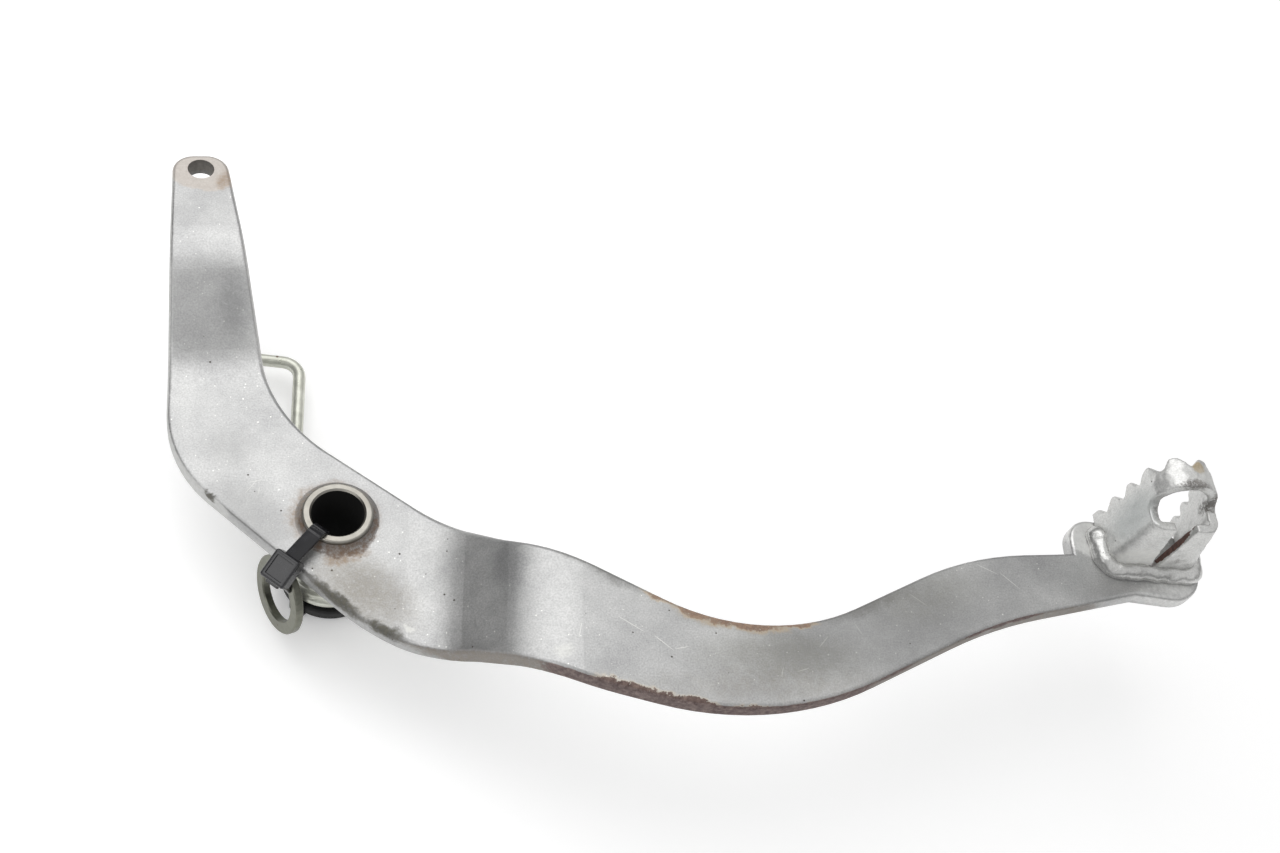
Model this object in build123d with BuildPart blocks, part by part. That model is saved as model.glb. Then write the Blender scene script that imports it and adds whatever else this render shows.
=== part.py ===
"""Rear brake pedal of a light motorcycle, in millimetres.

The origin is on the pivot axis at the outer face of the plate. +Z runs along the pivot axis to the
outer side, where the foot is, +X runs to the tread and +Y to the rod end, which stands up on the bike.
"""

import os
from math import cos, pi, radians, sin

from build123d import *

os.makedirs("parts", exist_ok=True)

# Plate of the lever
plate_t = 6.0
edge_r = 1.3
bend_r = 30.0
seat_gap = 0.3

# Long arm: its sideways joggle along X, and the flared pad at its end
joggle_start = 29.9
joggle_run = 27.0
joggle_rise = 20.0
pad_x = 241.8
pad_y = -1.3
pad_length = 42.8
pad_width = 24.8
pad_turn = -3.0
pad_corner_r = 8.0
pad_end_r = 11.5
pad_blend_r = 4.0
pad_low_blend_r = 30.0

# Upright arm: the rod hole at its tip, the line it stands on, and its joggle below the hole
rod_x = -52.8
rod_y = 112.0
rod_hole_d = 8.0
upright_root_x = -31.6
upright_root_y = 12.0
upright_flat = 30.5
upright_run = 35.0
upright_rise = 17.0
tip_width = 16.0
tip_end = 6.3
tip_corner_r = 6.6

# Corners of the plate's outline, each rounded with its own radius
pad_top = (pad_x, 1.8)
neck_top = (185.2, -5.0)
neck_top_r = 100.0
dip_top = (118.7, -41.2)
dip_top_r = 64.0
hip_top = (69.9, -19.1)
hip_top_r = 60.0
shoulder_top = (48.0, -10.3)
shoulder_top_r = 55.0
crotch = (-21.2, 32.7)
crotch_r = 52.0
heel = (-49.3, 14.1)
heel_r = 41.0
belly = (13.5, -35.2)
belly_r = 66.0
flank_low = (40.4, -43.0)
flank_low_r = 45.0
waist_low = (66.5, -53.2)
waist_low_r = 140.0
dip_low = (120.6, -64.2)
dip_low_r = 93.0
neck_low = (190.9, -26.7)
neck_low_r = 150.0
pad_low = (pad_x, -12.8)

# Pivot tube and the weld round its outer end
tube_d = 20.0
bore_d = 15.0
tube_proud = 3.0
tube_round = 0.8
mouth_chamfer = 0.5
tube_fit = 0.05
pivot_weld_leg = 1.8

# Foot tread, folded from one strip of sheet
sheet_t = 2.8
tread_inset = 18.0
tread_lean = 3.0
tread_base_w = 30.0
tread_tip_w = 20.8
leg_length = 26.3
tread_below = 3.8
tread_height = 19.1
tooth_pitch = 8.1
tooth_depth = 3.8
tooth_flat = 1.6
tooth_tip_r = 1.2
valley_r = 1.5
fold_r = 4.0
flange_length = 24.5
slot_base_w = 1.4
slot_end_w = 7.0
opening_height = 9.0
opening_r = 3.5
tread_weld_r = 2.6

# Return spring
wire_d = 4.0
coil_clear = 0.4
turn_gap = 0.05
coil_turns = 4.0 + 1.0 / 3.0
leg_spread = 4.4
hook_height = 74.3
hook_reach = 20.5
hook_r = 6.0
tail_length = 16.0
lead_in = 5.0
lead_in_r = 40.0

# Dust seal and loose washer
seal_t = 4.0
seal_wall = 4.65
seal_round = 0.8
washer_d = 23.6
washer_hole_d = 16.0
washer_t = 2.4
washer_edge = 0.35
washer_turn = 211.0
washer_tilt = 12.0
washer_off_coil = 4.4
washer_shift = 6.7

# Places worked out from the sizes above
rod_centre = Vector(rod_x, rod_y)
up_dir = (rod_centre - Vector(upright_root_x, upright_root_y)).normalized()
across_dir = up_dir.rotate(Axis.Z, -90)
tip_mid = rod_centre + up_dir * tip_end
tip_right = tip_mid + across_dir * (tip_width / 2)
tip_left = tip_mid - across_dir * (tip_width / 2)
pad_face = joggle_rise
stock_reach = pad_x
coil_d = tube_d + 2 * coil_clear + wire_d
coil_pitch = wire_d + turn_gap
coil_start = -plate_t - seat_gap - wire_d
coil_end = coil_start - coil_turns * coil_pitch
leg_drop = lead_in * coil_pitch / (pi * coil_d)
seal_top = coil_end - leg_drop - wire_d / 2 - seat_gap
tube_end = seal_top - seal_t
washer_out = coil_d / 2 + wire_d / 2 + washer_off_coil + washer_t / 2
washer_lean = radians(washer_tilt)
washer_z = -plate_t - seat_gap - (washer_d * cos(washer_lean) + washer_t * sin(washer_lean)) / 2
tread_x = pad_x + pad_length / 2 - tread_inset
tread_low = pad_y - tread_below
base_half = (tread_base_w - sheet_t) / 2
tip_half = (tread_tip_w - sheet_t) / 2
leg_lean = (base_half - tip_half) / leg_length


# Lever plate: two joggled strips that share the flat round the pivot, cut to the outline
upright_plane = Plane(rod_centre, x_dir=up_dir, z_dir=across_dir)
with BuildPart() as pedal_arm:
    with BuildSketch(upright_plane):
        with BuildLine():
            FilletPolyline(
                (-upright_flat - upright_run - stock_reach, -plate_t / 2),
                (-upright_flat - upright_run, -plate_t / 2),
                (-upright_flat, upright_rise - plate_t / 2),
                (2 * tip_end, upright_rise - plate_t / 2),
                radius=bend_r,
            )
        trace(line_width=plate_t)
    extrude(amount=stock_reach, both=True)
    split(bisect_by=Plane.YZ, keep=Keep.BOTTOM)
    with BuildSketch(Plane.XZ):
        with BuildLine():
            FilletPolyline(
                (0, -plate_t / 2),
                (joggle_start, -plate_t / 2),
                (joggle_start + joggle_run, joggle_rise - plate_t / 2),
                (pad_x + pad_length, joggle_rise - plate_t / 2),
                radius=bend_r,
            )
        trace(line_width=plate_t)
    extrude(amount=stock_reach, both=True)
    with BuildSketch(Plane.XY.offset(-stock_reach)) as outline:
        with Locations((pad_x, pad_y)):
            Rectangle(pad_length, pad_width, rotation=pad_turn)
        pad_corners = outline.vertices().sort_by(Axis.X)
        fillet(pad_corners[:2], pad_corner_r)
        fillet(outline.vertices().sort_by(Axis.X)[-2:], pad_end_r)
        with BuildLine():
            edge = FilletPolyline(
                pad_top,
                neck_top,
                dip_top,
                hip_top,
                shoulder_top,
                crotch,
                tip_right,
                tip_left,
                heel,
                belly,
                flank_low,
                waist_low,
                dip_low,
                neck_low,
                pad_low,
                radius=[
                    neck_top_r,
                    dip_top_r,
                    hip_top_r,
                    shoulder_top_r,
                    crotch_r,
                    tip_corner_r,
                    tip_corner_r,
                    heel_r,
                    belly_r,
                    flank_low_r,
                    waist_low_r,
                    dip_low_r,
                    neck_low_r,
                ],
            )
            Line(edge @ 1, edge @ 0)
        make_face()
        joins = outline.vertices().filter_by_position(Axis.X, pad_x - pad_length, pad_x).sort_by(Axis.Y)
        fillet(joins[1], pad_blend_r)
        fillet(joins[0], pad_low_blend_r)
    extrude(amount=2 * stock_reach, mode=Mode.INTERSECT)
    rim = pedal_arm.edges()
    for bend_line in (Axis.Z, Axis.Y, Axis((0, 0, 0), across_dir)):
        rim -= rim.filter_by(bend_line)
    fillet(rim, edge_r)
    with Locations((0, 0)):
        Hole(tube_d / 2 + tube_fit)
    with Locations((rod_x, rod_y)):
        Hole(rod_hole_d / 2)
pedal_arm.part.label = "pedal_arm"
export_step(pedal_arm.part, "parts/pedal_arm.step")


# Pivot tube, proud of the outer face and long enough inside for the spring and the seal
with BuildPart() as pivot_tube:
    with BuildSketch(Plane.XY.offset(tube_end)):
        Circle(tube_d / 2)
        Circle(bore_d / 2, mode=Mode.SUBTRACT)
    extrude(amount=tube_proud - tube_end)
    mouths = pivot_tube.edges().filter_by(GeomType.CIRCLE).sort_by(SortBy.RADIUS)
    chamfer(mouths[:2], mouth_chamfer)
    fillet(mouths[2:], tube_round)
pivot_tube.part.label = "pivot_tube"
export_step(pivot_tube.part, "parts/pivot_tube.step")


# Weld in the corner between the tube and the plate's outer face
weld_root = tube_d / 2 + tube_fit
with BuildPart() as pivot_weld:
    with BuildSketch(Plane.XZ):
        with BuildLine():
            Polyline((weld_root, pivot_weld_leg), (weld_root, 0), (weld_root + pivot_weld_leg, 0))
            RadiusArc((weld_root + pivot_weld_leg, 0), (weld_root, pivot_weld_leg), 2 * pivot_weld_leg)
        make_face()
    revolve(axis=Axis.Z)
pivot_weld.part.label = "pivot_weld"
export_step(pivot_weld.part, "parts/pivot_weld.step")


# Foot tread: strip bent to a U and set on edge on the pad, with flanges folded in along its lower edge
tread_side = Vector(1, 0).rotate(Axis.Y, -tread_lean)
tread_plane = Plane((tread_x, tread_low, pad_face), x_dir=tread_side, z_dir=(0, -1, 0))
with BuildPart() as toe_tread:
    with BuildSketch(tread_plane):
        with BuildLine() as strip:
            leg = Line((-base_half - leg_lean * sheet_t, -sheet_t), (-tip_half, leg_length))
            bend = TangentArc(leg @ 1, (tip_half, leg_length), tangent=leg % 1)
            Line(bend @ 1, (base_half + leg_lean * sheet_t, -sheet_t))
        trace(line_width=sheet_t)
    extrude(amount=-tread_height)
    with BuildSketch(tread_plane):
        with BuildLine():
            Polyline(
                (-base_half - leg_lean * sheet_t, -sheet_t),
                (base_half + leg_lean * sheet_t, -sheet_t),
                (base_half - leg_lean * flange_length, flange_length),
                (leg_lean * flange_length - base_half, flange_length),
                close=True,
            )
        make_face()
        with BuildLine():
            Polyline(
                (-slot_base_w / 2, -sheet_t),
                (slot_base_w / 2, -sheet_t),
                (slot_end_w / 2, flange_length),
                (-slot_end_w / 2, flange_length),
                close=True,
            )
        make_face(mode=Mode.SUBTRACT)
    extrude(amount=-sheet_t)
    # The flanges stop short of the tip, where the strip is cut away below the teeth
    flange_end = Plane((0, flange_length, 0), x_dir=(0, 1, 0), z_dir=(1, 0, 0))
    with BuildSketch(Plane(tread_plane.location * flange_end.location)):
        with BuildLine():
            cut = FilletPolyline(
                (0, tread_height),
                (0, -opening_height),
                (leg_length, -opening_height),
                radius=opening_r,
            )
            Polyline(cut @ 1, (leg_length, tread_height), cut @ 0)
        make_face()
    extrude(amount=tread_base_w, both=True, mode=Mode.SUBTRACT)
    split(bisect_by=Plane.XY.offset(pad_face), keep=Keep.TOP)
    folds = toe_tread.edges().group_by(Axis.Y)[0].sort_by(SortBy.LENGTH)[-4:].sort_by(Axis.X)
    fillet((folds[0], folds[-1]), fold_r)
    # Rounded notches at even steps along the strip, counted from one at the middle of the bend
    middle = strip.wire().length / 2
    notches = int((middle - sheet_t) // tooth_pitch)
    notch_planes = []
    for step in range(-notches, notches + 1):
        at = middle + step * tooth_pitch
        spot = strip.wire().position_at(at, position_mode=PositionMode.LENGTH)
        along = strip.wire().tangent_at(at, position_mode=PositionMode.LENGTH)
        edge_spot = Plane(spot - Vector(0, 0, tread_height), x_dir=along, z_dir=along.cross(Vector(0, 0, -1)))
        notch_planes.append(Plane(tread_plane.location * edge_spot.location))
    with BuildSketch(*notch_planes):
        with BuildLine():
            notch = FilletPolyline(
                (-tooth_pitch / 2, 0),
                (tooth_flat / 2 - tooth_pitch / 2, 0),
                (0, -tooth_depth),
                (tooth_pitch / 2 - tooth_flat / 2, 0),
                (tooth_pitch / 2, 0),
                radius=[tooth_tip_r, valley_r, tooth_tip_r],
            )
            Polyline(notch @ 1, (tooth_pitch / 2, tooth_depth), (-tooth_pitch / 2, tooth_depth), notch @ 0)
        make_face()
    extrude(amount=sheet_t, both=True, mode=Mode.SUBTRACT)
toe_tread.part.label = "toe_tread"
export_step(toe_tread.part, "parts/toe_tread.step")


# Weld bead on the pad, down one leg of the tread, along its flanges and up the other leg
bead_side = tread_base_w / 2
bead_top = pad_y + pad_width / 2 - edge_r - 1.6 * tread_weld_r
with BuildPart() as tread_weld:
    with BuildLine(Plane.XY.offset(pad_face)) as seam:
        bead = FilletPolyline(
            (tread_x - bead_side, bead_top),
            (tread_x - bead_side, tread_low),
            (tread_x + bead_side, tread_low),
            (tread_x + bead_side, tread_low + 1.8 * fold_r),
            radius=fold_r,
        )
    with BuildSketch(Plane(bead @ 0, z_dir=bead % 0)):
        Circle(tread_weld_r)
    sweep()
    with Locations(bead @ 0, bead @ 1):
        Sphere(tread_weld_r)
    # No weld reaches the inside of the tread
    with BuildSketch(Plane.XY.offset(pad_face)):
        with Locations((tread_x, tread_low + sheet_t / 2)):
            Rectangle(2 * base_half, tread_height, align=(Align.CENTER, Align.MIN))
    extrude(amount=2 * tread_weld_r, both=True, mode=Mode.SUBTRACT)
    add(pedal_arm.part, mode=Mode.SUBTRACT)
    add(toe_tread.part, mode=Mode.SUBTRACT)
tread_weld.part.label = "tread_weld"
export_step(tread_weld.part, "parts/tread_weld.step")


# Return spring: close coil round the tube, a hooked leg that stands up behind the plate and a short tail
with BuildPart() as return_spring:
    with BuildLine() as coil:
        helix = Helix(coil_pitch, coil_turns * coil_pitch, coil_d / 2, center=(0, 0, coil_end), mode=Mode.PRIVATE)
        add(helix, rotation=180)
    low_end = coil.edge() @ 0
    top_end = coil.edge() @ 1
    leg_turn = low_end - (coil.edge() % 0) * lead_in
    tail_turn = top_end + (coil.edge() % 1) * lead_in
    tail_way = Vector(tail_turn.X - top_end.X, tail_turn.Y - top_end.Y).normalized()
    with BuildSketch(Plane(low_end, z_dir=coil.edge() % 0)):
        Circle(wire_d / 2)
    sweep(path=coil.edge(), is_frenet=True)
    with BuildLine() as hook:
        FilletPolyline(
            low_end,
            leg_turn,
            (low_end.X - leg_spread, hook_height, leg_turn.Z),
            (low_end.X - leg_spread - hook_reach, hook_height, leg_turn.Z),
            radius=[lead_in_r, hook_r],
        )
    with BuildSketch(Plane(low_end, z_dir=coil.edge() % 0)):
        Circle(wire_d / 2)
    sweep(path=hook.wire())
    with BuildLine() as tail:
        FilletPolyline(top_end, tail_turn, tail_turn + tail_way * tail_length, radius=lead_in_r)
    with BuildSketch(Plane(top_end, z_dir=coil.edge() % 1)):
        Circle(wire_d / 2)
    sweep(path=tail.wire())
return_spring.part.label = "return_spring"
export_step(return_spring.part, "parts/return_spring.step")


# Dust seal under the coil, flush with the inner end of the tube
with BuildPart() as dust_seal:
    with BuildSketch(Plane.XY.offset(tube_end)):
        Circle(tube_d / 2 + tube_fit + seal_wall)
        Circle(tube_d / 2 + tube_fit, mode=Mode.SUBTRACT)
    extrude(amount=seal_t)
    fillet(dust_seal.edges().filter_by(GeomType.CIRCLE).sort_by(SortBy.RADIUS)[2:], seal_round)
dust_seal.part.label = "dust_seal"
export_step(dust_seal.part, "parts/dust_seal.step")


# Loose washer, hanging on edge beside the coil just under the plate
washer_way = Vector(1, 0).rotate(Axis.Z, washer_turn)
washer_side = washer_way.rotate(Axis.Z, 90)
washer_spot = washer_way * washer_out + washer_side * washer_shift + Vector(0, 0, washer_z)
washer_axis = washer_way * cos(washer_lean) + Vector(0, 0, sin(washer_lean))
with BuildPart() as thrust_washer:
    with BuildSketch(Plane(washer_spot, x_dir=washer_side, z_dir=washer_axis)):
        Circle(washer_d / 2)
        Circle(washer_hole_d / 2, mode=Mode.SUBTRACT)
    extrude(amount=washer_t / 2, both=True)
    chamfer(thrust_washer.edges().filter_by(GeomType.CIRCLE), washer_edge)
thrust_washer.part.label = "thrust_washer"
export_step(thrust_washer.part, "parts/thrust_washer.step")
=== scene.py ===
"""Looks of a motorcycle's rear brake pedal: worn silver paint, rust, bare steel, zinc, rubber and a nylon tie.

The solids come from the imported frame, in metres. Sizes in this file are in millimetres, apart from those whose
name ends in _m.
"""

import logging
from dataclasses import dataclass, field
from enum import Enum
from math import cos, radians, sin
from typing import Any

import bmesh
import bpy
from mathutils import Matrix, Vector, noise


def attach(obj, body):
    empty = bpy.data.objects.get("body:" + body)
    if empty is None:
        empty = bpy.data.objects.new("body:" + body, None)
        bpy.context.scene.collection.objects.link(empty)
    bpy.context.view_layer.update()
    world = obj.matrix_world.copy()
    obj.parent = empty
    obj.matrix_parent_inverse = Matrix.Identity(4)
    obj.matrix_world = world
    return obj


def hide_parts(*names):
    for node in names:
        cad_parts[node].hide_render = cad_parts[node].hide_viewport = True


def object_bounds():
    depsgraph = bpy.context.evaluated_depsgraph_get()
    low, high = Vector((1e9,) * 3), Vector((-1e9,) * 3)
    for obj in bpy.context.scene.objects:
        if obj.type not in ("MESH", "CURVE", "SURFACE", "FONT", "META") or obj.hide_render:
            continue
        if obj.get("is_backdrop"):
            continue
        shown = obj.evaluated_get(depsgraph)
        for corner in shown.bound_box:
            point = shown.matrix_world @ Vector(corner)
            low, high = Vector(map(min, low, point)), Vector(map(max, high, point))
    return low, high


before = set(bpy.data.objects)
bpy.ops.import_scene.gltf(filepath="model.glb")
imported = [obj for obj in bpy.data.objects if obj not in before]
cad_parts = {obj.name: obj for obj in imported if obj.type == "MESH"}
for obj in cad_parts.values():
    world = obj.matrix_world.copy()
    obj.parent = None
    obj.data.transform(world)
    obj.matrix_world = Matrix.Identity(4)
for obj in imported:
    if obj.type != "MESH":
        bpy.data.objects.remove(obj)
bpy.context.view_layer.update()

log = logging.getLogger("brake_pedal")
MM = 0.001

Triple = tuple[float, float, float]


class Body(str, Enum):
    """Moving bodies that the scene's own pieces ride on."""

    PEDAL = "pedal"


class Node(str, Enum):
    """Solids of the frame."""

    ARM = "pedal_arm"
    TUBE = "pivot_tube"
    PIVOT_WELD = "pivot_weld"
    TREAD = "toe_tread"
    TREAD_WELD = "tread_weld"
    SPRING = "return_spring"
    SEAL = "dust_seal"
    WASHER = "thrust_washer"


class Slot(str, Enum):
    """Material slots of the record."""

    PAINT = "silver_paint"
    RUBBER = "black_rubber"


def linear(code: str) -> tuple[float, float, float, float]:
    """Turns an sRGB hex colour to linear light.

    Args:
        code: Colour as six hex digits.

    Returns:
        Red, green, blue and a full alpha.
    """
    parts = [int(code[i:i + 2], 16) / 255 for i in (0, 2, 4)]
    red, green, blue = (p / 12.92 if p <= 0.04045 else ((p + 0.055) / 1.055) ** 2.4 for p in parts)
    return red, green, blue, 1.0


def add_node(tree: bpy.types.NodeTree, kind: str, inputs: dict[int | str, Any], out: int | str = 0,
             **settings: Any) -> bpy.types.NodeSocket:
    """Adds a node with its settings and links.

    Args:
        tree: Node tree that gets the node.
        kind: Type of the node.
        inputs: Value or linked socket for each named or numbered input.
        out: Output that is handed back.
        **settings: Properties of the node.

    Returns:
        The chosen output socket.
    """
    node = tree.nodes.new(kind)
    for name, value in settings.items():
        setattr(node, name, value)
    for name, value in inputs.items():
        if isinstance(value, bpy.types.NodeSocket):
            tree.links.new(value, node.inputs[name])
        else:
            node.inputs[name].default_value = value
    return node.outputs[out]


def new_material(name: str) -> tuple[bpy.types.Material, bpy.types.NodeTree, bpy.types.Node]:
    """Makes a material that holds one Principled shader.

    Args:
        name: Name of the material.

    Returns:
        The material, its node tree and its shader.
    """
    material = bpy.data.materials.new(name)
    material.use_nodes = True
    tree = material.node_tree
    return material, tree, tree.nodes["Principled BSDF"]


def in_mm(tree: bpy.types.NodeTree) -> bpy.types.NodeSocket:
    """Gives the object's own coordinates in millimetres.

    Args:
        tree: Node tree that gets the nodes.

    Returns:
        The vector socket.
    """
    place = add_node(tree, "ShaderNodeTexCoord", {}, "Object")
    return add_node(tree, "ShaderNodeVectorMath", {0: place, "Scale": 1 / MM}, operation="SCALE")


@dataclass(frozen=True)
class Spot:
    """An egg-shaped area that fades out from its core.

    It has a place, half sizes, a turn in degrees, an amount at its core, and the core's share of its reach.
    """

    at: Triple
    size: Triple
    turn: float = 0.0
    amount: float = 1.0
    core: float = 0.25


def spots_mask(tree: bpy.types.NodeTree, place: bpy.types.NodeSocket,
               spots: tuple[Spot, ...]) -> bpy.types.NodeSocket:
    """Works out how deep each point lies in the deepest of some spots.

    Args:
        tree: Node tree that gets the nodes.
        place: Coordinates in millimetres.
        spots: Spots to lay over each other.

    Returns:
        Socket from 0 outside to each spot's amount at its core.
    """
    deepest: Any = 0.0
    for spot in spots:
        local = add_node(tree, "ShaderNodeMapping", {
            "Vector": place, "Location": spot.at, "Rotation": (0, 0, radians(spot.turn)), "Scale": spot.size,
        }, vector_type="TEXTURE")
        reach = add_node(tree, "ShaderNodeVectorMath", {0: local}, "Value", operation="LENGTH")
        depth = add_node(tree, "ShaderNodeMapRange", {
            "Value": reach, "From Min": 1.0, "From Max": spot.core, "To Max": spot.amount,
        }, interpolation_type="SMOOTHSTEP")
        deepest = add_node(tree, "ShaderNodeMath", {0: deepest, 1: depth}, operation="MAXIMUM")
    return deepest


def dots_mask(tree: bpy.types.NodeTree, place: bpy.types.NodeSocket, spacing: float, radius: float,
              share: float) -> bpy.types.NodeSocket:
    """Strews round dots of uneven size over the surface.

    Args:
        tree: Node tree that gets the nodes.
        place: Coordinates in millimetres.
        spacing: Mean distance between places for a dot.
        radius: Radius of the largest dot.
        share: Share of the places that hold a dot.

    Returns:
        Socket that is 1 in a dot.
    """
    cells = add_node(tree, "ShaderNodeTexVoronoi", {"Vector": place, "Scale": 1 / spacing}, "Distance")
    tint = cells.node.outputs["Color"]
    chance = add_node(tree, "ShaderNodeSeparateColor", {"Color": tint}, "Red")
    limit = add_node(tree, "ShaderNodeMapRange", {
        "Value": chance, "From Min": 1 - share, "From Max": 1.0, "To Min": 0.0, "To Max": radius / spacing,
    })
    inside = add_node(tree, "ShaderNodeMath", {0: limit, 1: cells}, operation="SUBTRACT")
    return add_node(tree, "ShaderNodeMapRange", {"Value": inside, "From Max": 0.25 * radius / spacing})


@dataclass(frozen=True)
class WearAndPaintedLight:
    """One kind of wear, or a patch of painted shade or highlight: where it lies, its tones, how ragged its rim is
    and how far it dulls the metal.
    """

    tone: str
    fleck: str
    spots: tuple[Spot, ...]
    ragged: float = 2.0
    start: float = 0.35
    full: float = 0.65
    most: float = 1.0
    dull: float = 1.0
    on_rim: bool = False
    lip: str = ""
    crusty: bool = False
    straight: bool = False


@dataclass(frozen=True)
class WornPaint:
    """Silver paint: aluminium flake in clear lacquer on steel, worn, and rusting where it is chipped; part of its
    wear list is painted shade and highlight.
    """

    name: str
    light: str = "bdbdbc"
    dark: str = "9f9f9f"
    speck_tone: str = "dededa"
    pit_tone: str = "4f4a44"
    wear_and_painted_light: tuple[WearAndPaintedLight, ...] = ()
    speck_share: float = 0.6
    pit_share: float = 0.22
    roughness: tuple[float, float] = (0.36, 0.45)
    metallic: float = 0.9
    swirl_mm: float = 6.0
    bend_mm: float = 5.0
    cloud_mm: float = 22.0
    mottle_mm: float = 4.0
    tear_mm: float = 1.3
    grain_mm: float = 0.5
    relief_mm: float = 0.06

    def material(self) -> bpy.types.Material:
        """Makes the material.

        Returns:
            The finished material.
        """
        material, tree, shader = new_material(self.name)
        place = in_mm(tree)
        # Flake and lacquer: a cloudy tone, mottling, torn rims for the wear, and a grain that is drawn coarser
        # than real flake to show
        cloud, mottle, tear, grain = (
            add_node(tree, "ShaderNodeTexNoise", {"Vector": place, "Scale": 1 / size, "Detail": detail,
                                                  "Roughness": crumble})
            for size, detail, crumble in (
                (self.cloud_mm, 4.0, 0.5), (self.mottle_mm, 5.0, 0.6), (self.tear_mm, 7.0, 0.7),
                (self.grain_mm, 2.0, 0.5),
            )
        )
        patch = add_node(tree, "ShaderNodeMath", {0: mottle, 1: 0.35, 2: cloud}, operation="MULTIPLY_ADD")
        patch = add_node(tree, "ShaderNodeMapRange", {"Value": patch, "From Min": 0.46, "From Max": 0.9})
        colour = add_node(tree, "ShaderNodeMix", {0: patch, 6: linear(self.dark), 7: linear(self.light)}, 2,
                          data_type="RGBA")
        shine = add_node(tree, "ShaderNodeMapRange", {"Value": grain, "From Min": 0.3, "From Max": 0.7,
                                                      "To Min": 0.86, "To Max": 1.12})
        colour = add_node(tree, "ShaderNodeMix", {0: 1.0, 6: colour, 7: shine}, 2, data_type="RGBA",
                          blend_type="MULTIPLY")
        specks = dots_mask(tree, place, spacing=1.7, radius=0.28, share=self.speck_share)
        pits = dots_mask(tree, place, spacing=2.6, radius=0.36, share=self.pit_share)
        for share, tone in ((specks, self.speck_tone), (pits, self.pit_tone)):
            colour = add_node(tree, "ShaderNodeMix", {0: share, 6: colour, 7: linear(tone)}, 2,
                              data_type="RGBA")

        # Wear and painted light follow bent coordinates, up to half of swirl_mm off, so that no spot shows its egg
        # shape.
        # Scratches stay straight
        swirl = add_node(tree, "ShaderNodeTexNoise", {"Vector": place, "Scale": 1 / self.bend_mm, "Detail": 6.0,
                                                      "Roughness": 0.66}, "Color")
        shift = add_node(tree, "ShaderNodeVectorMath", {0: swirl, 1: (0.5, 0.5, 0.5)}, operation="SUBTRACT")
        bent = add_node(tree, "ShaderNodeVectorMath", {0: shift, 1: (self.swirl_mm,) * 3, 2: place},
                        operation="MULTIPLY_ADD")
        # The plate's cut rim is what doesn't face up or down
        facing = add_node(tree, "ShaderNodeTexCoord", {}, "Normal")
        upward = add_node(tree, "ShaderNodeSeparateXYZ", {"Vector": facing}, "Z")
        level = add_node(tree, "ShaderNodeMath", {0: upward}, operation="ABSOLUTE")
        rim = add_node(tree, "ShaderNodeMapRange", {"Value": level, "From Min": 0.9, "From Max": 0.5})
        edge = add_node(tree, "ShaderNodeMath", {0: tear, 1: 0.5}, operation="SUBTRACT")
        fleck = add_node(tree, "ShaderNodeMapRange", {"Value": tear, "From Min": 0.38, "From Max": 0.66})
        dull = pits
        crust: Any = 0.0
        for wear_and_painted_light in self.wear_and_painted_light:
            depth = spots_mask(tree, place if wear_and_painted_light.straight else bent, wear_and_painted_light.spots)
            if wear_and_painted_light.on_rim:
                depth = add_node(tree, "ShaderNodeMath", {0: depth, 1: rim}, operation="MULTIPLY")
            torn = add_node(tree, "ShaderNodeMath", {0: edge, 1: wear_and_painted_light.ragged, 2: 1.0}, operation="MULTIPLY_ADD")
            torn = add_node(tree, "ShaderNodeMath", {0: torn, 1: depth}, operation="MULTIPLY")
            share = add_node(tree, "ShaderNodeMapRange", {"Value": torn, "From Min": wear_and_painted_light.start,
                                                          "From Max": wear_and_painted_light.full, "To Max": wear_and_painted_light.most},
                             interpolation_type="SMOOTHSTEP")
            if wear_and_painted_light.crusty:
                crust = add_node(tree, "ShaderNodeMath", {0: crust, 1: share}, operation="MAXIMUM")
            if wear_and_painted_light.lip:
                lifted = add_node(tree, "ShaderNodeMapRange", {"Value": torn, "From Min": 0.1 * wear_and_painted_light.start,
                                                               "From Max": wear_and_painted_light.start, "To Max": 0.8})
                colour = add_node(tree, "ShaderNodeMix", {0: lifted, 6: colour, 7: linear(wear_and_painted_light.lip)}, 2,
                                  data_type="RGBA")
            tone = add_node(tree, "ShaderNodeMix", {0: fleck, 6: linear(wear_and_painted_light.tone), 7: linear(wear_and_painted_light.fleck)}, 2,
                            data_type="RGBA")
            colour = add_node(tree, "ShaderNodeMix", {0: share, 6: colour, 7: tone}, 2, data_type="RGBA")
            matt = add_node(tree, "ShaderNodeMath", {0: share, 1: wear_and_painted_light.dull}, operation="MULTIPLY")
            dull = add_node(tree, "ShaderNodeMath", {0: dull, 1: matt}, operation="MAXIMUM")
        tree.links.new(colour, shader.inputs["Base Color"])

        metal = add_node(tree, "ShaderNodeMapRange", {"Value": dull, "To Min": self.metallic, "To Max": 0.05})
        tree.links.new(metal, shader.inputs["Metallic"])
        satin = add_node(tree, "ShaderNodeMapRange", {"Value": cloud, "From Min": 0.3, "From Max": 0.7,
                                                      "To Min": self.roughness[0], "To Max": self.roughness[1]})
        rough = add_node(tree, "ShaderNodeMix", {0: dull, 2: satin, 3: 0.8}, 0, data_type="FLOAT")
        tree.links.new(rough, shader.inputs["Roughness"])

        low = add_node(tree, "ShaderNodeMath", {0: pits, 1: -0.8, 2: grain}, operation="MULTIPLY_ADD")
        crust = add_node(tree, "ShaderNodeMath", {0: crust, 1: tear}, operation="MULTIPLY")
        high = add_node(tree, "ShaderNodeMath", {0: crust, 1: 3.0, 2: low}, operation="MULTIPLY_ADD")
        bump = add_node(tree, "ShaderNodeBump", {"Strength": 0.5, "Distance": self.relief_mm * MM,
                                                 "Height": high})
        tree.links.new(bump, shader.inputs["Normal"])
        return material


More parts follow.
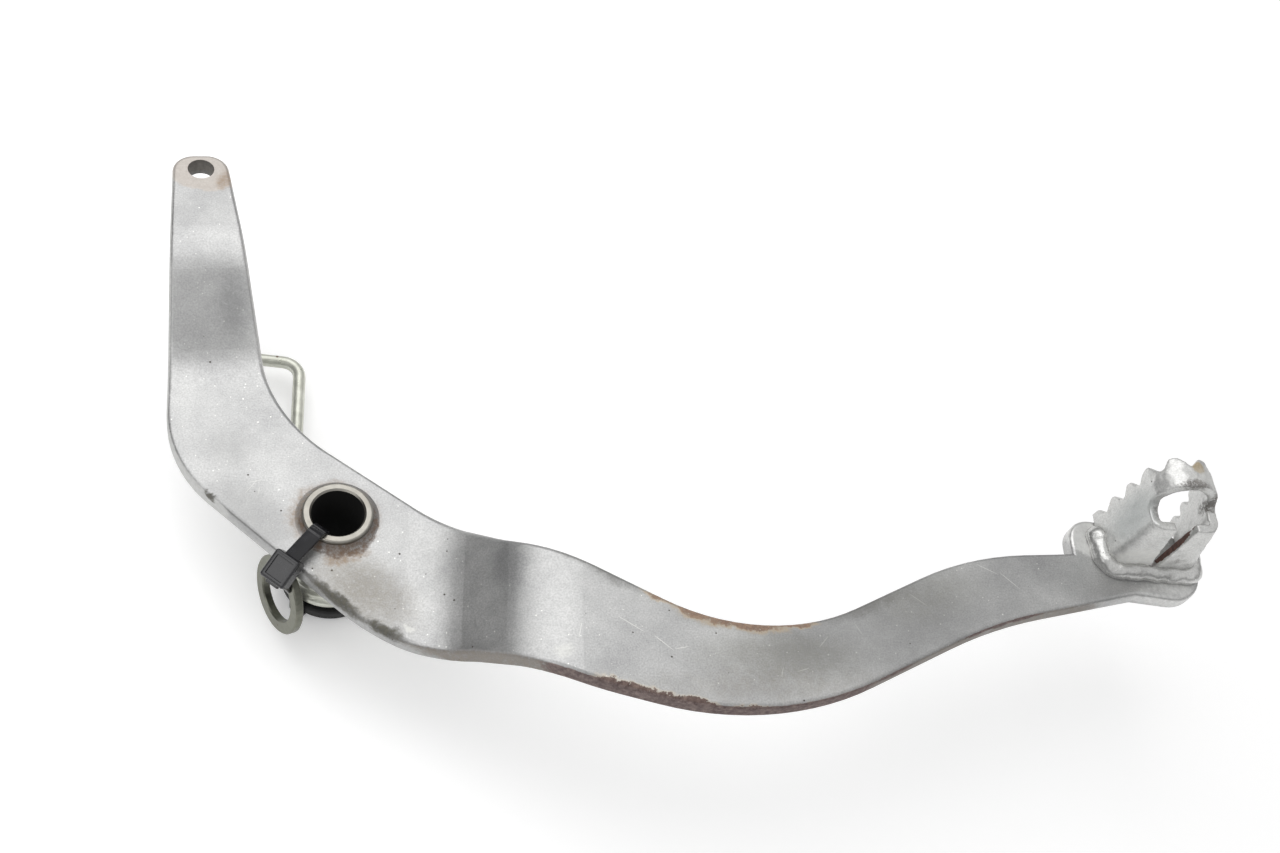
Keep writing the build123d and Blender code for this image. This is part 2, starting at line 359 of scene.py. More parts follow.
@dataclass(frozen=True)
class BareMetal:
    """Bare or zinc-plated steel: drawn or turned, with fine tool lines, a dull film, which on the tube is painted
    shade in the bore, and a few rust freckles.
    """

    name: str
    light: str
    dark: str
    roughness: tuple[float, float]
    freckle: str = "6a5040"
    freckle_share: float = 0.2
    film_and_shade: tuple[Spot, ...] = ()
    film_and_shade_tone: str = "6b5a4b"
    line_mm: float = 0.35
    metallic: float = 1.0
    cloud_mm: float = 5.0
    tear_mm: float = 1.6
    relief_mm: float = 0.03

    def material(self) -> bpy.types.Material:
        """Makes the material.

        Returns:
            The finished material.
        """
        material, tree, shader = new_material(self.name)
        place = in_mm(tree)
        cloud = add_node(tree, "ShaderNodeTexNoise", {"Vector": place, "Scale": 1 / self.cloud_mm,
                                                      "Detail": 5.0})
        lined = add_node(tree, "ShaderNodeMapping", {"Vector": place, "Scale": (0.15, 0.15, 1.0)})
        lines = add_node(tree, "ShaderNodeTexNoise", {"Vector": lined, "Scale": 1 / self.line_mm,
                                                      "Detail": 3.0})
        colour = add_node(tree, "ShaderNodeMix", {0: cloud, 6: linear(self.dark), 7: linear(self.light)}, 2,
                          data_type="RGBA")
        tone = add_node(tree, "ShaderNodeMapRange", {"Value": lines, "From Min": 0.3, "From Max": 0.7,
                                                     "To Min": 0.85, "To Max": 1.08})
        colour = add_node(tree, "ShaderNodeMix", {0: 1.0, 6: colour, 7: tone}, 2, data_type="RGBA",
                          blend_type="MULTIPLY")
        dots = dots_mask(tree, place, spacing=2.2, radius=0.5, share=self.freckle_share)
        colour = add_node(tree, "ShaderNodeMix", {0: dots, 6: colour, 7: linear(self.freckle)}, 2,
                          data_type="RGBA")
        ragged = add_node(tree, "ShaderNodeTexNoise", {"Vector": place, "Scale": 1 / self.tear_mm,
                                                       "Detail": 6.0})
        edge = add_node(tree, "ShaderNodeMath", {0: ragged, 1: 0.5}, operation="SUBTRACT")
        depth = add_node(tree, "ShaderNodeMath", {0: edge, 1: 0.9, 2: spots_mask(tree, place, self.film_and_shade)},
                         operation="MULTIPLY_ADD")
        film_and_shade = add_node(tree, "ShaderNodeMapRange", {"Value": depth, "From Min": 0.45, "From Max": 0.75})
        # The film keeps to walls, off the faces that are rubbed clean; on the tube it is painted shade down the
        # bore
        facing = add_node(tree, "ShaderNodeTexCoord", {}, "Normal")
        upward = add_node(tree, "ShaderNodeSeparateXYZ", {"Vector": facing}, "Z")
        wall = add_node(tree, "ShaderNodeMapRange", {"Value": upward, "From Min": 0.7, "From Max": 0.4})
        film_and_shade = add_node(tree, "ShaderNodeMath", {0: film_and_shade, 1: wall}, operation="MULTIPLY")
        colour = add_node(tree, "ShaderNodeMix", {0: film_and_shade, 6: colour, 7: linear(self.film_and_shade_tone)}, 2,
                          data_type="RGBA")
        tree.links.new(colour, shader.inputs["Base Color"])
        dull = add_node(tree, "ShaderNodeMath", {0: dots, 1: film_and_shade}, operation="MAXIMUM")
        metal = add_node(tree, "ShaderNodeMapRange", {"Value": dull, "To Min": self.metallic, "To Max": 0.1})
        tree.links.new(metal, shader.inputs["Metallic"])
        satin = add_node(tree, "ShaderNodeMapRange", {"Value": cloud, "From Min": 0.3, "From Max": 0.7,
                                                      "To Min": self.roughness[0], "To Max": self.roughness[1]})
        rough = add_node(tree, "ShaderNodeMix", {0: dull, 2: satin, 3: 0.8}, 0, data_type="FLOAT")
        tree.links.new(rough, shader.inputs["Roughness"])
        bump = add_node(tree, "ShaderNodeBump", {"Strength": 0.35, "Distance": self.relief_mm * MM,
                                                 "Height": lines})
        tree.links.new(bump, shader.inputs["Normal"])
        return material


@dataclass(frozen=True)
class Polymer:
    """Moulded nylon or rubber: dark, with a faint mould texture and dust."""

    name: str
    tone: str
    dust_tone: str
    roughness: float
    grain_mm: float
    relief_mm: float
    ior: float
    dust_mm: float = 3.0

    def material(self) -> bpy.types.Material:
        """Makes the material.

        Returns:
            The finished material.
        """
        material, tree, shader = new_material(self.name)
        shader.inputs["IOR"].default_value = self.ior
        place = in_mm(tree)
        cloud = add_node(tree, "ShaderNodeTexNoise", {"Vector": place, "Scale": 1 / self.dust_mm,
                                                      "Detail": 6.0})
        grain = add_node(tree, "ShaderNodeTexNoise", {"Vector": place, "Scale": 1 / self.grain_mm,
                                                      "Detail": 3.0})
        dust = add_node(tree, "ShaderNodeMapRange", {"Value": cloud, "From Min": 0.5, "From Max": 0.8,
                                                     "To Max": 0.5})
        colour = add_node(tree, "ShaderNodeMix", {0: dust, 6: linear(self.tone), 7: linear(self.dust_tone)}, 2,
                          data_type="RGBA")
        tree.links.new(colour, shader.inputs["Base Color"])
        rough = add_node(tree, "ShaderNodeMapRange", {"Value": cloud, "From Min": 0.3, "From Max": 0.7,
                                                      "To Min": 0.85 * self.roughness,
                                                      "To Max": self.roughness})
        tree.links.new(rough, shader.inputs["Roughness"])
        bump = add_node(tree, "ShaderNodeBump", {"Strength": 0.4, "Distance": self.relief_mm * MM,
                                                 "Height": grain})
        tree.links.new(bump, shader.inputs["Normal"])
        return material


RIM_RUST = (
    Spot((97, -57.5, 17), (38, 8, 10), 0, 1.0, 0.6),
    Spot((70, -53.5, 17), (22, 7, 10), -11, 0.85, 0.4),
    Spot((134, -55.0, 18), (24, 6, 7), 17, 0.8, 0.5),
    Spot((156, -45.0, 19), (12, 4, 3.5), 28, 0.7),
    Spot((192, -27.0, 19.6), (20, 4, 2.2), 22, 0.9, 0.5),
)
LOW_RUST = (
    Spot((78, -56.0, 20), (12, 3.6, 4), -12, 1.0, 0.4),
    Spot((94, -59.0, 20), (14, 2.7, 4), -6, 1.0, 0.4),
    Spot((112, -60.0, 20), (12, 2.1, 4), 2, 1.0, 0.4),
    Spot((128, -58.2, 20), (9, 2.0, 4), 12, 0.8),
)
TOP_RUST = (
    Spot((112, -34.0, 19.5), (17, 3.8, 4), -3, 1.0, 0.35),
    Spot((98, -31.4, 19.5), (11, 3.0, 4), -17, 0.9),
    Spot((89, -28.2, 19.5), (9, 1.8, 3.5), -24, 0.8),
    Spot((127, -32.9, 19.5), (10, 2.0, 4), 8, 0.9),
)
SCRATCH_WIDTH, SCRATCH_DEPTH = 0.16, 1.5
SCRATCHES = tuple(Spot(at, (length, SCRATCH_WIDTH, SCRATCH_DEPTH), turn, 1.0, 0.5) for at, length, turn in (
    ((80, -37, 20), 5.5, -30), ((89, -42, 20), 4.5, -38), ((94, -43, 20), 2.6, 15), ((66, -40, 20), 3.0, 80),
    ((122, -48, 20), 2.0, 75), ((128, -47, 20), 2.4, 20), ((135, -38, 20), 3.0, 50), ((146, -33, 20), 2.5, -60),
    ((166, -22, 20), 4.0, -35), ((190, -9.5, 20), 4.5, -24), ((197, -13, 20), 5.0, -42),
    ((-25, 7.3, 0), 3.4, 60), ((-24, 9.6, 0), 2.4, 20), ((-22.5, 6.5, 0), 2.0, 85),
))
# Satin silver that shows each bend as a light or dark band, deepened by painted shade on the slopes, dull and rusty
# along the lower rim
ARM_PAINT = WornPaint(
    name="worn_silver_paint",
    wear_and_painted_light=(
        # Chalky lacquer, and hair scratches that show paler than the flake
        WearAndPaintedLight("cfcfca", "dededa", (
            Spot((61, -46, 20), (6, 3.5, 3), 0, 0.7),
            Spot((22, -33.5, 0), (2.4, 1.6, 2), 0, 1.0),
        ), ragged=1.2, start=0.3, full=0.9, most=0.6, dull=0.3),
        WearAndPaintedLight("d6d6d2", "e2e2de", SCRATCHES,
             ragged=0.8, start=0.2, full=0.7, most=0.7, dull=0.4, straight=True),
        # Painted highlight: paler paint at the tread's foot, where the rounded fold catches light
        WearAndPaintedLight("d6d6d4", "e6e6e4", (
            Spot((226, 5.5, 19), (8, 9, 7), 0, 1.0, 0.5),
            Spot((250, -12, 18), (22, 7, 6), 0, 0.7, 0.3),
        ), ragged=1.4, start=0.1, full=0.9, most=0.8, dull=0.0),
        # Grey darkening round the pivot, on the heel and the far arm, and painted shade on the upright's slope
        WearAndPaintedLight("7e7e7e", "8c8c8b", (
            Spot((-24, -2, 0), (26, 17, 6), -42, 0.9, 0.2),
            Spot((30, -14, 0), (16, 20, 6), 20, 0.6, 0.1),
            Spot((150, -33, 20), (62, 20, 8), 20, 0.9, 0.2),
            Spot((-33, 20, 0), (15, 14, 5), -42, 0.7, 0.1),
            Spot((-45, 64, 8), (27, 31, 17), 7, 0.8, 0.3),
        ), ragged=1.2, start=0.1, full=1.2, most=0.5, dull=0.1),
        # Painted shade: darker grey on the long arm's slope and on the right of the upright's slope
        WearAndPaintedLight("626364", "727374", (
            Spot((45, -17, 15), (13, 20, 10), 0, 1.0, 0.1),
            Spot((32, -14, 4), (10, 22, 9), 0, 0.6, 0.0),
            Spot((-37, 66, 9), (10, 28, 15), 7, 0.8, 0.0),
        ), ragged=1.0, start=0.1, full=1.2, most=0.6, dull=0.1),
        # Painted shade: a dark band along the long arm's upper edge. Then an olive tint down its middle
        WearAndPaintedLight("62615d", "706f6a", (
            Spot((72, -20, 20), (26, 5, 5), -29, 0.9, 0.1),
            Spot((108, -33, 20), (26, 6, 5), -8, 0.9, 0.1),
            Spot((150, -24, 20), (28, 6, 5), 25, 0.9, 0.1),
        ), ragged=1.2, start=0.05, full=1.1, most=0.6, dull=0.3),
        WearAndPaintedLight("75746a", "838277", (
            Spot((122, -43, 20), (42, 13, 6), 4, 0.9, 0.1),
            Spot((170, -20, 20), (34, 14, 6), 22, 0.7, 0.1),
        ), ragged=1.4, start=0.05, full=1.2, most=0.42, dull=0.2),
        # Painted highlight: paler, duller paint along the rim of the upright arm and its heel
        WearAndPaintedLight("c2c2c0", "d0d0ce", (
            Spot((-46, 70, 9), (30, 70, 24), 7, 1.0, 0.8),
            Spot((-44, 16, -2), (24, 26, 9), 0, 1.0, 0.7),
        ), ragged=1.0, start=0.1, full=0.6, most=0.9, dull=0.9, on_rim=True),
        # Warm grey where the brake rod's fork has rubbed round the rod hole
        WearAndPaintedLight("bbb1a7", "cbc2b9", (
            Spot((-51.5, 112, 17), (13, 10.5, 6), 0, 1.0, 0.7),
        ), ragged=1.0, start=0.2, full=0.7, most=0.6, dull=0.4),
        # Brown road film over the plate below the pivot and along the lower rim
        WearAndPaintedLight("7b7468", "8f897c", (
            Spot((9, -22, 0), (31, 18, 5), -32, 1.0, 0.0),
            Spot((118, -52, 18), (75, 10, 6), 5, 0.6, 0.2),
        ), ragged=1.6, start=0.1, full=1.3, most=0.62, dull=0.5),
        WearAndPaintedLight("6f665c", "857c70", (
            Spot((40, -46, 8), (45, 14, 16), -14, 0.8, 0.6),
            Spot((130, -50, 17), (80, 26, 7), 14, 0.9, 0.7),
            Spot((205, -20, 17), (30, 12, 6), 20, 0.8, 0.6),
        ), ragged=1.6, start=0.15, full=0.95, most=0.75, dull=0.8, on_rim=True),
        # Painted shade darkening the wall of the rod hole
        WearAndPaintedLight("4a4743", "5f5b55", (
            Spot((-52.8, 112, 14), (6.5, 6.5, 8), 0, 1.0, 0.75),
        ), ragged=0.8, start=0.2, full=0.5, most=0.8, dull=0.7, on_rim=True, straight=True),
        # Dark grease and grit on the lower edge below the pivot, and in a chip by the heel
        WearAndPaintedLight("3d3b33", "5d5a4d", (
            Spot((1.5, -26.0, -0.8), (19, 4.2, 4), -38, 1.0, 0.1),
            Spot((15.5, -34.0, -0.8), (11, 3.4, 4), -27, 1.0, 0.1),
            Spot((-36, 3.4, -0.5), (3.0, 1.8, 2.5), -38, 1.0),
        ), ragged=1.8, start=0.12, full=1.0, most=0.88),
        # Rusty stain round the weld and beside the rod hole, then a darker ring close to the weld
        WearAndPaintedLight("8a7058", "a08a70", (
            Spot((-1, 0, 0.5), (17.5, 16.5, 6), 0, 0.75, 0.5),
            Spot((3.5, -12.0, 0), (11, 5.0, 5), 20, 0.8),
            Spot((-45.2, 108.5, 17), (4.2, 7.0, 5), 0, 0.8),
        ), ragged=2.4, start=0.15, full=1.3, most=0.85, dull=0.8),
        WearAndPaintedLight("4a382c", "6b5340", (
            Spot((0.6, -2.4, 0.5), (12.0, 12.0, 6), 0, 0.8, 0.85),
        ), start=0.3, full=1.1, most=0.85),
        # Rust under lifted paint, on the rim and creeping on to the face
        WearAndPaintedLight("574643", "86736a", LOW_RUST,
             ragged=2.6, start=0.34, full=0.55, lip="c0b8ab", crusty=True),
        WearAndPaintedLight("574846", "8a7a75", RIM_RUST,
             ragged=2.2, start=0.3, full=0.55, most=0.97, on_rim=True, crusty=True),
        WearAndPaintedLight("745a4e", "a58d78", TOP_RUST,
             ragged=2.8, start=0.46, full=0.9, most=0.95, lip="b3a592", crusty=True),
    ),
)
# Pale chalky silver, scuffed at the burred edges
TREAD_PAINT = WornPaint(
    name="scuffed_silver_paint",
    light="dcdcda",
    dark="c4c4c2",
    swirl_mm=2.0,
    metallic=0.75,
    wear_and_painted_light=(
        # Ochre stain on the tip, then dark grit along the burred edges of the opening
        WearAndPaintedLight("a08c62", "b39b6d", (
            Spot((245.5, 10.5, 55.5), (3.6, 3.4, 4), 0, 1.0),
        ), ragged=1.4, start=0.15, full=0.8, most=0.75, dull=0.5),
        WearAndPaintedLight("4a4542", "6e6862", (
            Spot((243, 4.5, 55), (10, 3.2, 5), 0, 0.9),
            Spot((253, 4.0, 48), (4.0, 5, 14), 0, 0.9),
            Spot((236, 0, 46), (6, 5, 5), 0, 0.9),
            Spot((244, -2, 38), (7, 4, 6), 0, 0.8),
            Spot((250, -3, 28), (5, 4, 7), 0, 0.8),
        ), ragged=3.2, start=0.5, full=1.0, most=0.8),
        # Painted highlight: pale chalky paint on the flanges and the bend. Then a darker blue-grey patch on the
        # legs
        WearAndPaintedLight("e4e4e1", "f0f0ec", (
            Spot((238.8, -5.1, 26), (12, 3, 10), 0, 1.0, 0.4),
            Spot((246, 8, 52), (8, 8, 6), 0, 0.7, 0.2),
        ), ragged=0.8, start=0.1, full=0.9, most=0.8, dull=0.8),
        WearAndPaintedLight("8d9393", "9ba1a1", (
            Spot((231.5, 3, 38), (9, 13, 24), 0, 1.0, 0.0),
        ), ragged=1.0, start=0.1, full=1.0, most=0.55, dull=0.1),
        # Rust in the slot between the flanges
        WearAndPaintedLight("4d3a35", "6e5147", (
            Spot((246.2, -3.0, 34), (1.5, 2.3, 15), 0, 1.0, 0.6),
        ), start=0.3, full=0.6),
    ),
    pit_share=0.5,
)
# Thick bright silver that glints on each ripple of the bead
BEAD_PAINT = WornPaint(
    name="glossy_silver_paint_on_weld",
    light="d8d8d6",
    dark="b6b6b4",
    roughness=(0.22, 0.32),
    metallic=0.7,
    pit_share=0.3,
)
# A worn, warm grey ring; painted shade makes the bore nearly black
TUBE_STEEL = BareMetal(
    name="turned_steel", light="b4b2ab", dark="7f7a72", roughness=(0.28, 0.42),
    film_and_shade=(Spot((0, 0, -18), (9.7, 9.7, 70), 0, 1.0, 0.86),), film_and_shade_tone="0c0b0a",
)
# Pale greenish wire, streaked with dull and bright plating
SPRING_ZINC = BareMetal(
    name="zinc_spring_wire", light="f2f3ea", dark="aeb0a0", roughness=(0.26, 0.4), metallic=0.5,
)
# Dull olive grey
WASHER_ZINC = BareMetal(name="zinc_washer", light="8d8e83", dark="67675d", roughness=(0.3, 0.46))
# Matt black with a little dust
SEAL_RUBBER = Polymer(
    name="seal_rubber", tone="141414", dust_tone="32312f", roughness=0.7, grain_mm=0.5, relief_mm=0.05,
    ior=1.52,
)
# Black with a soft sheen
TIE_NYLON = Polymer(
    name="tie_nylon", tone="1c1c1f", dust_tone="38383c", roughness=0.28, grain_mm=0.8, relief_mm=0.02,
    ior=1.53,
)


def finish_piece(mesh: bmesh.types.BMesh, name: str, material: bpy.types.Material, body: Body,
                 smooth: bool = True) -> bpy.types.Object:
    """Turns a bmesh in millimetres into a piece of the object.

    Args:
        mesh: Finished bmesh, which is freed.
        name: Name of the piece.
        material: Its material.
        body: Body that it rides on.
        smooth: Whether its faces are shaded smooth.

    Returns:
        The new object.
    """
    bmesh.ops.transform(mesh, matrix=Matrix.Scale(MM, 4), verts=mesh.verts)
    bmesh.ops.recalc_face_normals(mesh, faces=mesh.faces)
    data = bpy.data.meshes.new(name)
    for face in mesh.faces:
        face.smooth = smooth
    mesh.to_mesh(data)
    mesh.free()
    data.materials.append(material)
    piece = bpy.data.objects.new(name, data)
    bpy.context.scene.collection.objects.link(piece)
    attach(piece, body.value)
    log.info("%s: %d faces on %s", name, len(data.polygons), body.value)
    return piece


@dataclass
class CableTie:
    """Black nylon tie through the pivot bore and the loose washer, with its head on the plate's edge."""

    bearing: float = 235.8
    width: float = 4.6
    thickness: float = 1.2
    head: Triple = (8.6, 8.0, 5.6)
    tail: Triple = (1.8, 4.0, 1.4)
    head_at: tuple[float, float] = (23.6, 2.6)
    head_lean: float = 30.0
    strap_round: float = 0.3
    head_round: float = 0.8
    tail_round: float = 0.2
    tail_drop: float = -0.4
    pan: tuple[float, float] = (0.7, -0.4)
    mouth: tuple[float, float] = (0.9, -1.2)
    slope: float = 0.2
    route: tuple[tuple[float, float], ...] = (
        (21.5, 3.6), (17.0, 3.9), (12.0, 4.3), (9.0, 4.6), (6.9, 3.4), (6.7, -2.0), (6.7, -12.0),
        (6.7, -24.0), (6.7, -31.0), (6.9, -35.1), (10.0, -35.3), (13.6, -35.3), (15.7, -34.4),
        (15.7, -30.0), (16.4, -24.0), (19.0, -17.0), (22.2, -10.0), (24.0, -4.0), (25.0, 1.0),
    )

    def place(self, out: float, up: float) -> Vector:
        """Gives the point at a distance from the pivot axis and a height."""
        return Vector((out * cos(radians(self.bearing)), out * sin(radians(self.bearing)), up))

    def centreline(self) -> list[Vector]:
        """Reads points along the strap's smooth route.

        Returns:
            Points in millimetres.
        """
        curve = bpy.data.curves.new("tie_route", "CURVE")
        curve.dimensions = "3D"
        curve.resolution_u = 8
        spline = curve.splines.new("NURBS")
        spline.points.add(len(self.route) - 1)
        for point, (out, up) in zip(spline.points, self.route):
            point.co = (*self.place(out, up), 1.0)
        spline.order_u = 3
        spline.use_endpoint_u = True
        holder = bpy.data.objects.new("tie_route", curve)
        line = bpy.data.meshes.new_from_object(holder)
        points = [v.co.copy() for v in line.vertices]
        bpy.data.objects.remove(holder)
        bpy.data.curves.remove(curve)
        bpy.data.meshes.remove(line)
        return points

    def strap(self) -> bmesh.types.BMesh:
        """Draws the strap's section along its route.

        Returns:
            Strap in millimetres.
        """
        points = self.centreline()
        across = Vector((-sin(radians(self.bearing)), cos(radians(self.bearing)), 0))
        mesh = bmesh.new()
        bmesh.ops.create_grid(mesh, x_segments=1, y_segments=1, size=0.5)
        bmesh.ops.scale(mesh, vec=(self.width, self.thickness, 1), verts=mesh.verts)
        bmesh.ops.bevel(mesh, geom=mesh.verts[:], offset=self.strap_round, offset_type="OFFSET",
                        affect="VERTICES", segments=2, profile=0.5, material=-1)

        def station(i: int) -> Matrix:
            """Frame of the section at one point of the route."""
            along = (points[min(i + 1, len(points) - 1)] - points[max(i - 1, 0)]).normalized()
            outward = along.cross(across)
            turn = Matrix((across, outward, along)).transposed().to_4x4()
            return Matrix.Translation(points[i]) @ turn

        now = station(0)
        bmesh.ops.transform(mesh, matrix=now, verts=mesh.verts)
        ring = next(iter(mesh.faces))
        for i in range(1, len(points)):
            grown = bmesh.ops.extrude_face_region(mesh, geom=[ring], use_keep_orig=(i == 1))
            ring = next(g for g in grown["geom"] if isinstance(g, bmesh.types.BMFace))
            after = station(i)
            bmesh.ops.transform(mesh, matrix=after @ now.inverted(), verts=ring.verts[:])
            now = after
        return mesh

    def head_block(self) -> bmesh.types.BMesh:
        """Makes the head: a rounded block with the strap's cut end standing out of its front.

        Returns:
            Head in millimetres.
        """
        mesh = bmesh.new()
        for size, shift, rounding in (
            (self.head, (0.0, 0.0, 0.0), self.head_round),
            (self.tail, (self.head[0] / 2, 0.0, self.tail_drop), self.tail_round),
        ):
            block = bmesh.ops.create_cube(mesh, size=1.0)["verts"]
            bmesh.ops.scale(mesh, vec=size, verts=block)
            bmesh.ops.translate(mesh, vec=shift, verts=block)
            edges = list({e for v in block for e in v.link_edges})
            bmesh.ops.bevel(mesh, geom=edges, offset=rounding, offset_type="OFFSET", affect="EDGES",
                            segments=4, profile=0.5, material=-1)
        # A shallow pan in the top, and the mouth that the strap leaves by in the front
        for way, (border, sink) in ((Vector((0, 0, 1)), self.pan), (Vector((1, 0, 0)), self.mouth)):
            face = max(mesh.faces, key=lambda f: f.normal.dot(way) * f.calc_area())
            bmesh.ops.inset_individual(mesh, faces=[face], thickness=border, depth=0.0)
            bmesh.ops.inset_individual(mesh, faces=[face], thickness=self.slope, depth=sink)
        lean = Matrix.Rotation(radians(self.head_lean), 4, "Y")
        turn = Matrix.Rotation(radians(self.bearing), 4, "Z")
        spot = Matrix.Translation(self.place(*self.head_at))
        bmesh.ops.transform(mesh, matrix=spot @ turn @ lean, verts=mesh.verts)
        return mesh

    def build(self) -> None:
        """Adds the strap and the head to the object."""
        nylon = TIE_NYLON.material()
        for name, mesh, smooth in (("tie_strap", self.strap(), True), ("tie_head", self.head_block(), False)):
            piece = finish_piece(mesh, name, nylon, Body.PEDAL, smooth)


@dataclass
class HandFormed:
    """A CAD solid of the tread with the rounded, uneven skin of hand work under thick paint."""

    node: Node
    name: str
    finish: WornPaint
    voxel: float
    passes: int
    ripple: float
    swell: float
    wave: float
    fine_share: float = 0.25
    fine_size: float = 0.4
    join_mm: float = 0.01

    def even_mesh(self) -> bpy.types.Mesh:
        """Reads the solid in millimetres as a closed mesh of even quads.

        Returns:
            The new mesh.
        """
        mesh = bmesh.new()
        mesh.from_mesh(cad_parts[self.node.value].data)
        bmesh.ops.transform(mesh, matrix=Matrix.Scale(1 / MM, 4), verts=mesh.verts)
        bmesh.ops.remove_doubles(mesh, verts=mesh.verts, dist=self.join_mm)
        data = bpy.data.meshes.new(f"{self.name}_source")
        mesh.to_mesh(data)
        mesh.free()
        holder = bpy.data.objects.new(data.name, data)
        bpy.context.scene.collection.objects.link(holder)
        remesh = holder.modifiers.new("even", "REMESH")
        remesh.mode = "VOXEL"
        remesh.voxel_size = self.voxel
        even = bpy.data.meshes.new_from_object(holder.evaluated_get(bpy.context.evaluated_depsgraph_get()))
        bpy.data.objects.remove(holder)
        return even

    def build(self) -> None:
        """Adds the uneven piece in place of the plain solid."""
        mesh = bmesh.new()
        mesh.from_mesh(self.even_mesh())
        for _ in range(self.passes):
            bmesh.ops.smooth_vert(mesh, verts=mesh.verts, factor=0.5, use_axis_x=True, use_axis_y=True,
                                  use_axis_z=True)
        mesh.normal_update()
        for vert in mesh.verts:
            fine = noise.noise(vert.co / (self.fine_size * self.ripple))
            wave = noise.noise(vert.co / self.ripple) + self.fine_share * fine
            vert.co += vert.normal * (self.swell + self.wave * wave)
        piece = finish_piece(mesh, self.name, self.finish.material(), Body.PEDAL)
        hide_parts(self.node.value)


BEAD = HandFormed(
    Node.TREAD_WELD, "tread_bead", BEAD_PAINT, voxel=0.35, passes=3, ripple=3.4, swell=1.3, wave=0.6,
)
TREAD = HandFormed(
    Node.TREAD, "worn_tread", TREAD_PAINT, voxel=0.3, passes=6, ripple=2.6, swell=0.1, wave=0.22,
)


@dataclass
class LeverFinishes:
    """Finishes of the CAD solids that keep their own shape."""

    finishes: dict[Node, Any] = field(default_factory=lambda: {
        Node.ARM: ARM_PAINT,
        Node.PIVOT_WELD: ARM_PAINT,
        Node.TUBE: TUBE_STEEL,
        Node.SPRING: SPRING_ZINC,
        Node.WASHER: WASHER_ZINC,
        Node.SEAL: SEAL_RUBBER,
    })

    def dress(self) -> None:
        """Gives each solid its material."""
        made: dict[str, bpy.types.Material] = {}
        for node, finish in self.finishes.items():
            material = made.get(finish.name) or finish.material()
            made[finish.name] = material
            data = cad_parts[node.value].data
            data.materials.clear()
            data.materials.append(material)
            log.info("%s: %s", node.value, finish.name)


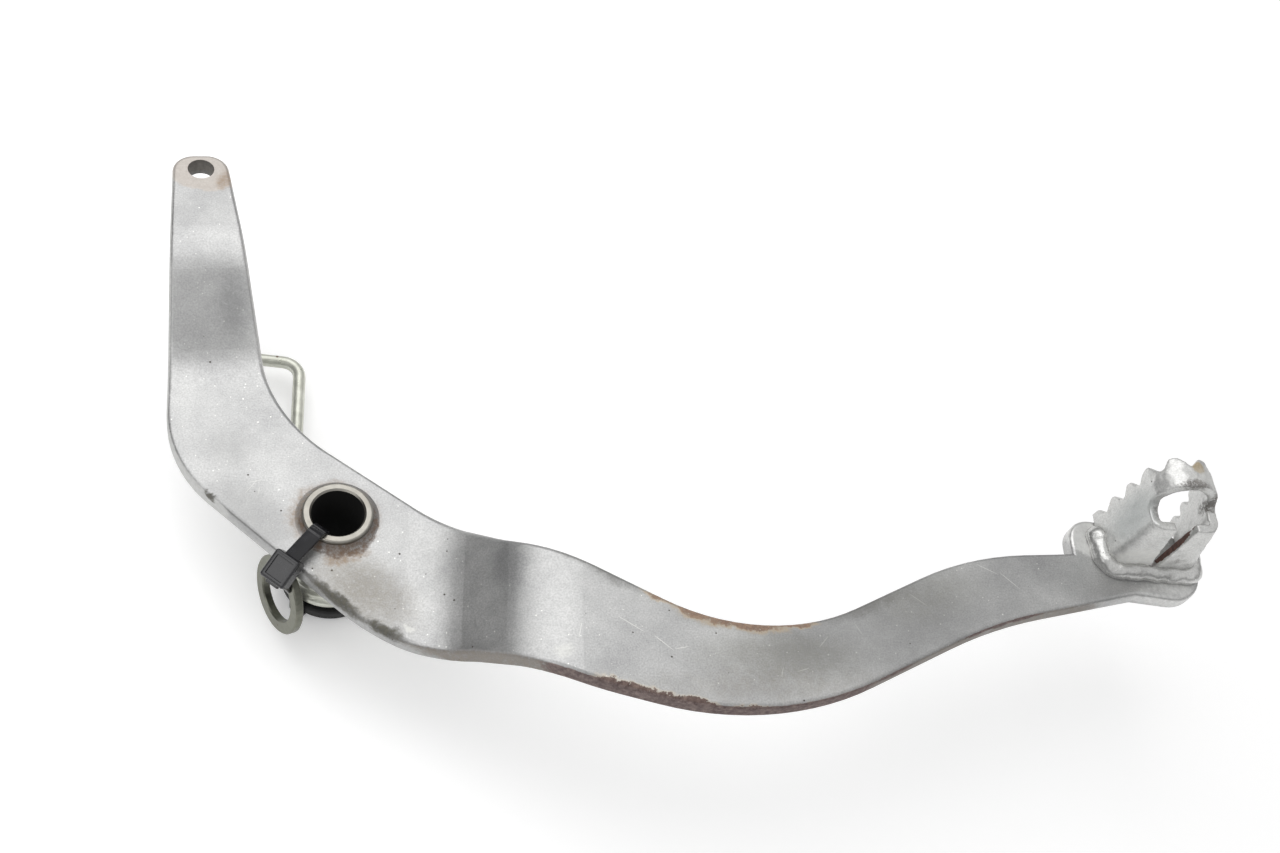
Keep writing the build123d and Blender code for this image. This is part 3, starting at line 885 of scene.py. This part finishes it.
@dataclass
class Studio:
    """White floor, a large soft light behind the part, a weak fill, and a camera at the photograph's place."""

    camera_at: Triple = (-3.38, -211.90, 349.37)
    right: Triple = (0.9716, -0.0363, 0.2340)
    up: Triple = (-0.1063, 0.8160, 0.5682)
    back: Triple = (-0.2115, -0.5769, 0.7889)
    lens: float = 39.375
    sensor: float = 36.0
    clip_m: tuple[float, float] = (0.01, 50.0)
    floor_m: float = 8.0
    floor_gap: float = 0.15
    floor_glow: float = 0.24
    box_at_m: Triple = (-0.33, 0.61, 0.90)
    box_size_m: tuple[float, float] = (1.24, 1.14)
    box_power: float = 6.4
    fill_at_m: Triple = (-0.24, -0.18, 0.26)
    fill_size_m: tuple[float, float] = (0.30, 0.30)
    fill_power: float = 0.5
    horizon: float = 0.17
    zenith: float = 0.78
    wall_rise: tuple[float, float] = (0.15, 0.6)
    left_shade: float = 0.08
    shade_span: tuple[float, float] = (-0.9, -0.35)
    backdrop: float = 0.95

    def camera(self) -> None:
        """Sets the camera up."""
        data = bpy.data.cameras.new("camera")
        data.lens = self.lens
        data.sensor_width = self.sensor
        data.clip_start, data.clip_end = self.clip_m
        camera = bpy.data.objects.new("camera", data)
        turn = Matrix((self.right, self.up, self.back)).transposed().to_4x4()
        camera.matrix_world = Matrix.Translation(Vector(self.camera_at) * MM) @ turn
        bpy.context.scene.collection.objects.link(camera)
        bpy.context.scene.camera = camera

    def floor(self) -> None:
        """Lays the floor just under the lowest point of the part."""
        mesh = bmesh.new()
        bmesh.ops.create_grid(mesh, x_segments=1, y_segments=1, size=self.floor_m / 2)
        data = bpy.data.meshes.new("floor")
        mesh.to_mesh(data)
        mesh.free()
        data.transform(Matrix.Translation((0, 0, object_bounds()[0].z - self.floor_gap * MM)))
        material, _, shader = new_material("white_floor")
        shader.inputs["Base Color"].default_value = linear("f4f4f4")
        shader.inputs["Roughness"].default_value = 0.7
        shader.inputs["Emission Color"].default_value = linear("ffffff")
        shader.inputs["Emission Strength"].default_value = self.floor_glow
        data.materials.append(material)
        floor = bpy.data.objects.new("floor", data)
        bpy.context.scene.collection.objects.link(floor)
        floor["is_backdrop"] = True

    def light(self) -> None:
        """Hangs the soft light and a weak fill at the front left, and lights the room."""
        for name, at, size, power in (
            ("softbox", self.box_at_m, self.box_size_m, self.box_power),
            ("fill", self.fill_at_m, self.fill_size_m, self.fill_power),
        ):
            data = bpy.data.lights.new(name, "AREA")
            data.shape = "RECTANGLE"
            data.size, data.size_y = size
            data.energy = power
            lamp = bpy.data.objects.new(name, data)
            lamp.location = at
            lamp.visible_camera = False
            bpy.context.scene.collection.objects.link(lamp)
        world = bpy.data.worlds.new("room")
        world.use_nodes = True
        tree = world.node_tree
        way = add_node(tree, "ShaderNodeTexCoord", {}, "Generated")
        height = add_node(tree, "ShaderNodeSeparateXYZ", {"Vector": way}, "Z")
        walls = add_node(tree, "ShaderNodeMapRange", {
            "Value": height, "From Min": self.wall_rise[0], "From Max": self.wall_rise[1],
            "To Min": self.horizon, "To Max": self.zenith,
        }, interpolation_type="SMOOTHSTEP")
        side = add_node(tree, "ShaderNodeSeparateXYZ", {"Vector": way}, "X")
        shade = add_node(tree, "ShaderNodeMapRange", {
            "Value": side, "From Min": self.shade_span[0], "From Max": self.shade_span[1],
            "To Min": self.left_shade, "To Max": 1.0,
        }, interpolation_type="SMOOTHSTEP")
        walls = add_node(tree, "ShaderNodeMath", {0: walls, 1: shade}, operation="MULTIPLY")
        seen = add_node(tree, "ShaderNodeLightPath", {}, "Is Camera Ray")
        strength = add_node(tree, "ShaderNodeMix", {0: seen, 2: walls, 3: self.backdrop}, 0, data_type="FLOAT")
        background = tree.nodes["Background"]
        background.inputs["Color"].default_value = (1, 1, 1, 1)
        tree.links.new(strength, background.inputs["Strength"])
        bpy.context.scene.world = world

    def build(self) -> None:
        """Sets up the floor, light, camera and plain display of colours."""
        self.floor()
        self.light()
        self.camera()
        bpy.context.scene.view_settings.view_transform = "Standard"


def main() -> None:
    """Dresses the frame and builds the studio."""
    logging.basicConfig(level=logging.INFO)
    LeverFinishes().dress()
    BEAD.build()
    TREAD.build()
    CableTie().build()
    Studio().build()


if __name__ == "__main__":
    main()
